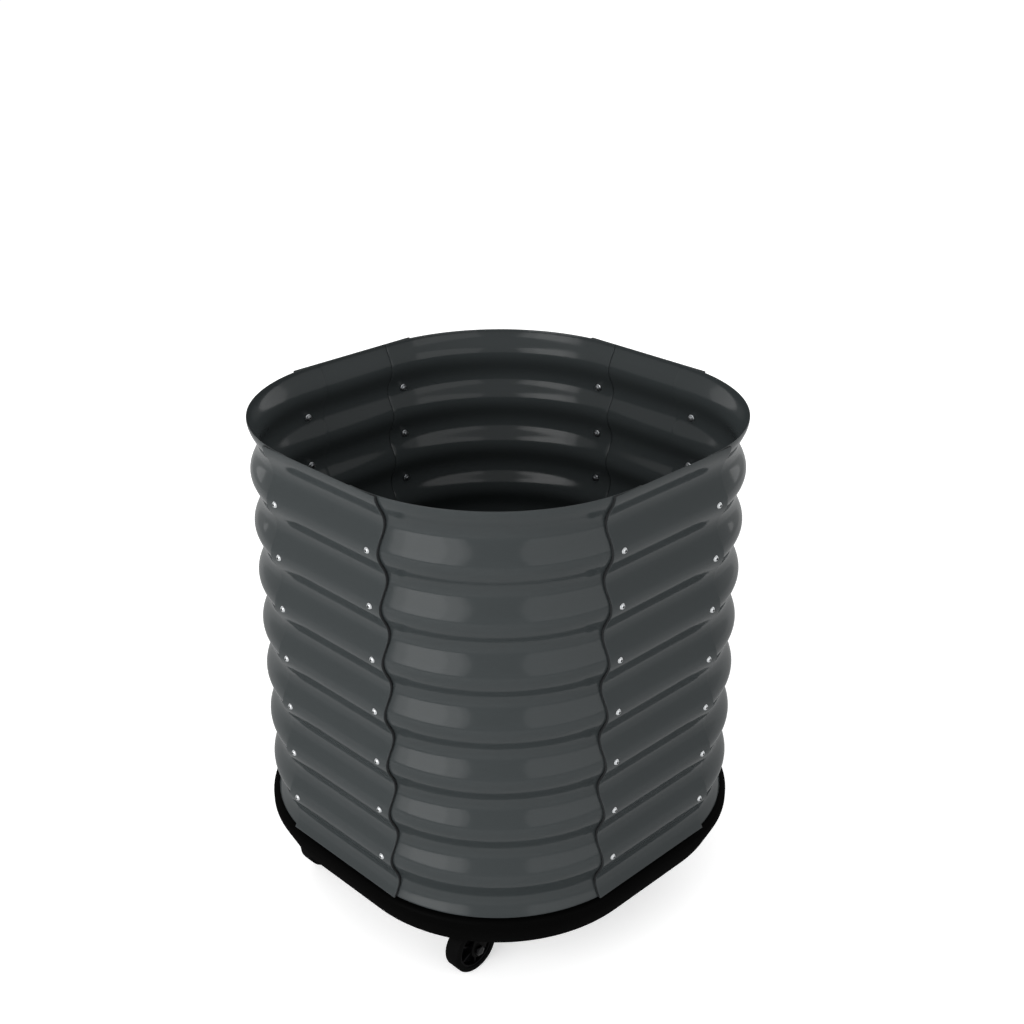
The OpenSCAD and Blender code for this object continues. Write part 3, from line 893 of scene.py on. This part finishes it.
section = [
    (7, RACE_UNDER),
    (13.5, RACE_UNDER),
    (13.9, RACE_TRACK),
    (20.1, RACE_TRACK),
    (20.5, RACE_UNDER),
    (22.6, RACE_UNDER),
    (24.2, RACE_UNDER + 0.6),
    (25, RACE_UNDER + 2),
    (25, PLATE_UNDER),
    (7, PLATE_UNDER),
]
bm = bmesh.new()
turn(bm, section, 64)
place_at_casters(bm, "ball_race", "planter", black_powder_coat, "caster_coat", "caster_race")
print("races:", len(caster_at))

# %% Kingpin
KINGPIN_LOW = 80.88
KINGPIN_HIGH = PLATE_TOP + 2.5
CROWN_UNDER = 84.68
HEAD_TOP = CROWN_UNDER - 0.3

section = [
    (0, KINGPIN_LOW),
    (7.6, KINGPIN_LOW),
    (9.2, KINGPIN_LOW + 0.62),
    (10, KINGPIN_LOW + 1.92),
    (10, HEAD_TOP),
    (6, HEAD_TOP),
    (6, PLATE_TOP),
    (9, PLATE_TOP),
    (9, KINGPIN_HIGH - 1.3),
    (8, KINGPIN_HIGH - 0.3),
    (6, KINGPIN_HIGH),
    (0, KINGPIN_HIGH),
]
bm = bmesh.new()
turn(bm, section, 40)
place_at_casters(bm, "king_rivet", "planter", black_zinc, "black_steel", "caster_kingpin")
print("kingpins:", len(caster_at))

# %% [markdown]
# ### Screws and washers of the plates
#
# Each plate hangs on four hexagon screws with flat washers. They are made about
# their seat under the plate, with the shank upward into its boss.

# %% Plate screws and washers
plate_screw_places = [
    caster_at[corner] @ Matrix.Translation((hx * MM, hy * MM, PLATE_UNDER * MM))
    for corner in CORNERS
    for hx in (-HOLE_X, HOLE_X)
    for hy in (-HOLE_Y, HOLE_Y)
]
bm = bmesh.new()
hexagon(bm, 10, -5.6, -1.6)
turn(bm, [(0, -6.0), (3.6, -6.0), (4.6, -5.5), (0, -5.5)], 24)  # the head's turned end
turn(bm, [(0, -1.7), (3, -1.7), (3, 22), (0, 22)], 24)  # the shank
copies(bm, plate_screw_places)
finish_piece(bm, "hexagon_screws", "planter", zinc_plate, "zinc_steel", "plate_screws")

bm = bmesh.new()
turn(bm, [(3.25, -1.6), (6.0, -1.6), (6.3, -1.3), (6.3, -0.3), (6.0, 0), (3.25, 0)], 32)
copies(bm, plate_screw_places)
finish_piece(bm, "flat_washers", "planter", zinc_plate, "zinc_steel", "plate_washers")
print("plate screws:", len(plate_screw_places))

# %% [markdown]
# ### Fork
#
# The fork is pressed from one piece of steel: a round crown with the lower
# ball track, and two legs that taper down to the axle. A leg is the outline
# that a band would make round a large disc at the axle and smaller ones at
# the root, so it is the convex hull of those discs, rounded at its edges.


# %% Plates drawn round discs
def link_plate(bm, discs, x0, x1, edge=0.5):
    """The hull of discs, each (y, z, radius) in mm, as a plate from x0 to x1."""
    part = bmesh.new()
    for y, z, radius in discs:
        bmesh.ops.create_cone(
            part,
            cap_ends=True,
            segments=48,
            radius1=radius * MM,
            radius2=radius * MM,
            depth=(x1 - x0) * MM,
            matrix=along_x(y, z, (x0 + x1) / 2),
        )
    hull = bmesh.ops.convex_hull(part, input=part.verts[:], use_existing_faces=False)
    spare = set(of_kind(hull["geom_interior"] + hull["geom_unused"], bmesh.types.BMVert))
    bmesh.ops.delete(part, geom=list(spare), context="VERTS")
    skin = set(of_kind(hull["geom"], bmesh.types.BMFace))
    inside = [face for face in part.faces if face not in skin]
    bmesh.ops.delete(part, geom=inside, context="FACES")
    bmesh.ops.dissolve_limit(
        part, angle_limit=math.radians(1), verts=part.verts[:], edges=part.edges[:]
    )
    bmesh.ops.recalc_face_normals(part, faces=part.faces[:])
    soften(part, edge * MM, sharper_than=60)
    mesh = bpy.data.meshes.new("link")
    part.to_mesh(mesh)
    part.free()
    bm.from_mesh(mesh)
    bpy.data.meshes.remove(mesh)


BACK_ROOT = (-TRAIL + 12, 77.7)
FRONT_ROOT = (12, 77.7)
LEG = [(-TRAIL, AXLE_Z, 12), (*BACK_ROOT, 7), (*FRONT_ROOT, 7), (-26, 84.2, 3), (16, 84.2, 3)]
PIVOT_Y = -48.0
PIVOT_Z = 79.48
BRAKE_ARM = [(PIVOT_Y, PIVOT_Z, 5), (*BACK_ROOT, 6)]
print("discs of a leg:", len(LEG), "and of the arm that holds a brake:", len(BRAKE_ARM))

# %% Fork
CROWN_TOP = 87.68
CROWN_TRACK = CROWN_TOP - 1.18
CROWN = [
    (6.08, CROWN_UNDER),
    (26.2, CROWN_UNDER),
    (27, CROWN_UNDER + 0.72),
    (27, CROWN_TOP - 0.68),
    (26.2, CROWN_TOP),
    (20.6, CROWN_TOP),
    (20.1, CROWN_TRACK),
    (13.9, CROWN_TRACK),
    (13.4, CROWN_TOP),
    (6.08, CROWN_TOP),
]
LEG_IN = 13.3
LEG_OUT = 15.8
BOSS_AT = 14.8
AXLE_BOSS = [(4.3, -0.9), (9, -0.9), (9, 0.9), (8.5, 1.1), (4.3, 1.1)]


def fork(braked):
    """Crown, the plate behind it and the legs; arms for a pedal too if it is braked."""
    bm = bmesh.new()
    turn(bm, CROWN, 64)
    block(bm, (-15.6, -28.9, 84.8), (15.6, -5, 87.45), 0.9, 3)
    for side in (-1, 1):
        x0, x1 = sorted((side * LEG_IN, side * LEG_OUT))
        link_plate(bm, LEG, x0, x1, 0.6)
        if braked:
            link_plate(bm, BRAKE_ARM, x0 + 0.05, x1 - 0.05)
        pressed = [(r, side * z) for r, z in AXLE_BOSS]
        turn(bm, pressed, 40, on_axle @ Matrix.Translation((0, 0, side * BOSS_AT * MM)))
    return bm


for bm, corners in ((fork(True), BRAKED), (fork(False), UNBRAKED)):
    place_at_casters(bm, "fork", "swivel", black_powder_coat, "caster_coat", "caster_fork", corners)
print("forks:", len(BRAKED) + len(UNBRAKED), "of which braked:", len(BRAKED))

# %% [markdown]
# ### Balls
#
# Fourteen balls run between the two tracks. Looked at level, they lie behind
# the narrow gap under the race.

# %% Bearing balls
BALLS = 14
BALL_RADIUS = 3 * MM
first_ball = Matrix.Translation((17 * MM, 0, 88.94 * MM))
ball_places = [Matrix.Rotation(2 * math.pi * i / BALLS, 4, "Z") @ first_ball for i in range(BALLS)]

bm = bmesh.new()
bmesh.ops.create_icosphere(bm, subdivisions=3, radius=BALL_RADIUS)
copies(bm, ball_places)
place_at_casters(bm, "bearing_balls", "swivel", bearing_steel, "ball_steel", "caster_balls")
print("balls in each caster:", BALLS)

# %% [markdown]
# ### Axle bolt and nut
#
# The bolt is the axle. Its hexagon head sits on one leg and its nut on the
# other; the nut has the plain collar of a lock nut.

# %% Axle bolt
AXLE_FLATS = 13

bm = bmesh.new()
turn(bm, [(0, -24.6), (3.5, -24.6), (4, -24.1), (4, LEG_OUT), (0, LEG_OUT)], at=on_axle)
turn(bm, [(0, LEG_OUT), (6.1, LEG_OUT), (6.1, 16.2), (0, 16.2)], at=on_axle)
hexagon(bm, AXLE_FLATS, 16.1, 20.5, on_axle)
turn(bm, [(0, 20.2), (5.6, 20.2), (4.8, 20.76), (0, 20.76)], at=on_axle)
place_at_casters(bm, "axle_bolt", "swivel", black_zinc, "black_steel", "caster_axle_bolt")
print("axle bolts:", len(caster_at))

# %% Lock nut
collar = [(4.02, -22.6), (5.0, -22.6), (5.85, -21.7), (5.85, -20.4), (4.02, -20.4)]
seat = [(4.02, -16.2), (6.1, -16.2), (6.1, -LEG_OUT), (4.02, -LEG_OUT)]

bm = bmesh.new()
turn(bm, collar, at=on_axle)
hexagon(bm, AXLE_FLATS, -20.9, -16.1, on_axle)
turn(bm, seat, at=on_axle)
place_at_casters(bm, "lock_nut", "swivel", black_zinc, "black_steel", "caster_axle_nut")
print("lock nuts:", len(caster_at))

# %% [markdown]
# ### Wheel and tyre
#
# The wheel is moulded nylon: a hub, a thin web stiffened by ribs on both
# sides, and a rim. A rubber tyre is moulded round the rim. Its shoulders are
# rounded by a bevel, which is how a mould maker would draw them.

# %% Wheel
HUB_HALF = 13
WEB_HALF = 2
RIM_HALF = 11
RIM_RADIUS = 29.5
SPOKES = 6

half = [
    (4.08, HUB_HALF),
    (9.3, HUB_HALF),
    (10, HUB_HALF - 0.7),
    (10, WEB_HALF + 0.6),
    (10.6, WEB_HALF),
    (25.9, WEB_HALF),
    (26.5, WEB_HALF + 0.6),
    (26.5, RIM_HALF - 0.6),
    (27, RIM_HALF),
    (RIM_RADIUS, RIM_HALF),
]
bm = bmesh.new()
turn(bm, half + [(r, -z) for r, z in reversed(half)], 72, on_axle)
for spoke in range(SPOKES):
    turned = on_axle @ Matrix.Rotation(2 * math.pi / SPOKES * spoke, 4, "Z")
    made = block(bm, (9, -1.5, -9), (27.5, 1.5, 9))
    bmesh.ops.transform(bm, matrix=turned, verts=made)
place_at_casters(bm, "wheel", "wheel", wheel_nylon, "wheel_plastic", "caster_wheel")
print("wheels:", len(caster_at))

# %% Tyre
WHEEL_RADIUS = 37.5
TYRE_HALF = 12

section = [
    (RIM_RADIUS, -TYRE_HALF),
    (WHEEL_RADIUS, -TYRE_HALF),
    (WHEEL_RADIUS, TYRE_HALF),
    (RIM_RADIUS, TYRE_HALF),
]
bm = bmesh.new()
turn(bm, section, 96)
tread = {v for v in bm.verts if v.co.xy.length > (WHEEL_RADIUS - 0.5) * MM}
rings = [e for e in bm.edges if abs(e.verts[0].co.z - e.verts[1].co.z) < 1 * MM]
shoulders = [e for e in rings if all(v in tread for v in e.verts)]
bmesh.ops.bevel(
    bm, geom=shoulders, offset=2 * MM, segments=5, profile=0.5, material=-1, affect="EDGES"
)
bmesh.ops.transform(bm, matrix=on_axle, verts=bm.verts[:])
place_at_casters(bm, "tyre", "wheel", tyre_rubber, "tyre_rubber", "caster_tyre")
print("tyres:", len(caster_at))

# %% [markdown]
# ### Brake pedals and their pins
#
# The two rear casters have toe brakes. A nylon pedal turns on a pin through
# the fork; pressing its toe brings the brake shoe below it down on the tyre.
# Four low ridges across the toe keep a foot from slipping off it.

# %% Brake pedals
RIDGES = 4
RIDGE_PITCH = 4.2
RIDGE_FALL = 0.02  # each ridge lies that much lower than the one before it

toe = (PIVOT_Y - 38, PIVOT_Z + 5, 2)
shoe = (PIVOT_Y - 14, PIVOT_Z - 7.5, 3)
bm = bmesh.new()
link_plate(bm, [(PIVOT_Y, PIVOT_Z, 4.5), toe], -12, 12, 0.7)
link_plate(bm, [(PIVOT_Y, PIVOT_Z, 4.4), shoe], -11.9, 11.9, 0.6)
for ridge in range(RIDGES):
    y = PIVOT_Y - 37 + RIDGE_PITCH * ridge
    z = PIVOT_Z + 6.75 - RIDGE_FALL * ridge
    link_plate(bm, [(y, z, 0.9)], -10.5, 10.5, 0.3)
place_at_casters(bm, "toe_pedal", "brake", wheel_nylon, "pedal_plastic", "brake_pedal", BRAKED)
print("brake pedals:", len(BRAKED))

# %% Pedal pins
half = [(2.5, LEG_OUT), (4, LEG_OUT), (4, 17.2), (3.3, 17.8), (0, 17.8)]
bm = bmesh.new()
turn(bm, [(r, -z) for r, z in reversed(half)] + half, at=along_x(PIVOT_Y, PIVOT_Z))
place_at_casters(bm, "pedal_pin", "swivel", black_zinc, "black_steel", "brake_pin", BRAKED)
print("pedal pins:", len(BRAKED))

# %% [markdown]
# ## The studio
#
# The planter stands on a plain white floor. The backdrop is white where the
# camera and the reflections look at it, at a strength of one, and the light
# that falls on the object comes from a soft world and large soft boxes. The
# floor keeps the object's shadow. A light path node tells a ray that is seen,
# straight or in a reflection, from one that carries light.

# %% World
WORLD_LEVEL = 0.65  # its strength as a light; where a ray sees it, it is 1

world = bpy.data.worlds.new("studio")
bpy.context.scene.world = world
world.use_nodes = True
tree = world.node_tree
tree.nodes.clear()
rays = add_node(tree, "ShaderNodeLightPath")
seen = add_node(
    tree,
    "ShaderNodeMath",
    {"operation": "MAXIMUM"},
    _0=rays.outputs["Is Camera Ray"],
    _1=rays.outputs["Is Glossy Ray"],
)
seen = add_node(
    tree,
    "ShaderNodeMath",
    {"operation": "MAXIMUM"},
    _0=seen.outputs[0],
    _1=rays.outputs["Is Transmission Ray"],
)
level = add_node(tree, "ShaderNodeMapRange", Value=seen.outputs[0], _3=WORLD_LEVEL, _4=1.0)
sky = add_node(tree, "ShaderNodeBackground", Color=(1, 1, 1, 1), Strength=level.outputs[0])
add_node(tree, "ShaderNodeOutputWorld", Surface=sky.outputs[0])
print("world nodes:", len(tree.nodes))

# %% Floor
FLOOR_WHITE = "E6E6E6"
FLOOR_GLOW = 0.52  # added where a ray sees the floor, to lift it to the backdrop's white
FLOOR_HALF = 30  # metres, so that its edge is out of sight

floor_white, tree, shader = new_material("floor_white")
shader.inputs["Base Color"].default_value = paint(FLOOR_WHITE)
shader.inputs["Roughness"].default_value = 1.0
shader.inputs["Specular IOR Level"].default_value = 0.0
rays = add_node(tree, "ShaderNodeLightPath")
seen = add_node(
    tree,
    "ShaderNodeMath",
    {"operation": "MAXIMUM"},
    _0=rays.outputs["Is Camera Ray"],
    _1=rays.outputs["Is Glossy Ray"],
)
shader.inputs["Emission Color"].default_value = (1, 1, 1, 1)
glow = add_node(
    tree, "ShaderNodeMath", {"operation": "MULTIPLY"}, _0=seen.outputs[0], _1=FLOOR_GLOW
)
tree.links.new(glow.outputs[0], shader.inputs["Emission Strength"])

bm = bmesh.new()
bmesh.ops.create_grid(bm, x_segments=1, y_segments=1, size=FLOOR_HALF)
floor_mesh = bpy.data.meshes.new("studio_floor")
bm.to_mesh(floor_mesh)
bm.free()
floor_mesh.materials.append(floor_white)
studio_floor = bpy.data.objects.new("studio_floor", floor_mesh)
bpy.context.scene.collection.objects.link(studio_floor)
print("studio floor:", studio_floor.dimensions[:])

# %% [markdown]
# ### Soft boxes
#
# Tall soft boxes stand to the left and right of the camera, and show in the
# satin ridges as two soft bands with a gap between them. The left one is the
# stronger. It is three panels of falling width in almost the same place, so it
# is brightest near its middle and its band fades out at the edges. A pair
# behind the object lights the far side.


# %% Soft boxes
CAMERA_AZIMUTH = 45.21
BOX_ELEVATION = 18
BOX_DISTANCE = 3.0
BOX_HEIGHT = 2.0
BOX_AIM = Vector((0, 0, 0.4))
# azimuth from the camera in degrees, width in metres, level of the surface
SOFT_BOXES = {
    "soft_box_left": (-40, 2.5, 1.9),
    "soft_box_left_core": (-41, 2.14, 1.3),
    "soft_box_left_heart": (-42, 1.25, 1.4),
    "soft_box_right": (42, 2.8, 1.3),
    "soft_box_far_left": (220, 2.4, 1.5),
    "soft_box_far_right": (140, 2.4, 1.5),
}


def direction(azimuth, elevation):
    """Unit vector from the object; azimuth 0 is the front and grows towards the right side."""
    a, e = math.radians(azimuth), math.radians(elevation)
    return Vector((math.cos(e) * math.sin(a), -math.cos(e) * math.cos(a), math.sin(e)))


for name, (turned, width, level) in SOFT_BOXES.items():
    towards = direction(CAMERA_AZIMUTH + turned, BOX_ELEVATION)
    light = bpy.data.lights.new(name, "AREA")
    light.shape = "RECTANGLE"
    light.size = width
    light.size_y = BOX_HEIGHT
    light.energy = level * math.pi * width * BOX_HEIGHT
    lamp = bpy.data.objects.new(name, light)
    lamp.location = BOX_AIM + towards * BOX_DISTANCE
    lamp.rotation_euler = (-towards).to_track_quat("-Z", "Y").to_euler()
    bpy.context.scene.collection.objects.link(lamp)
print("soft boxes:", len(SOFT_BOXES))

# %% [markdown]
# ### Camera
#
# The camera looks down at the front right corner through a lens of about 50 mm.
# A small shift of the lens moves the planter in the frame, with no turn of the
# camera.

# %% Camera
CAMERA_ELEVATION = 25.93
CAMERA_DISTANCE = 2.040
AIM = Vector((0.01317, 0.01327, 0.540))

camera_data = bpy.data.cameras.new("camera")
camera_data.sensor_fit = "HORIZONTAL"
camera_data.sensor_width = 36
camera_data.lens = 50.8
camera_data.shift_y = 0.0230
camera = bpy.data.objects.new("camera", camera_data)
camera.location = AIM + CAMERA_DISTANCE * direction(CAMERA_AZIMUTH, CAMERA_ELEVATION)
camera.rotation_euler = (AIM - camera.location).to_track_quat("-Z", "Y").to_euler()
bpy.context.scene.collection.objects.link(camera)
bpy.context.scene.camera = camera
bpy.context.scene.view_settings.view_transform = "Standard"
print("camera at", [round(part, 3) for part in camera.location])
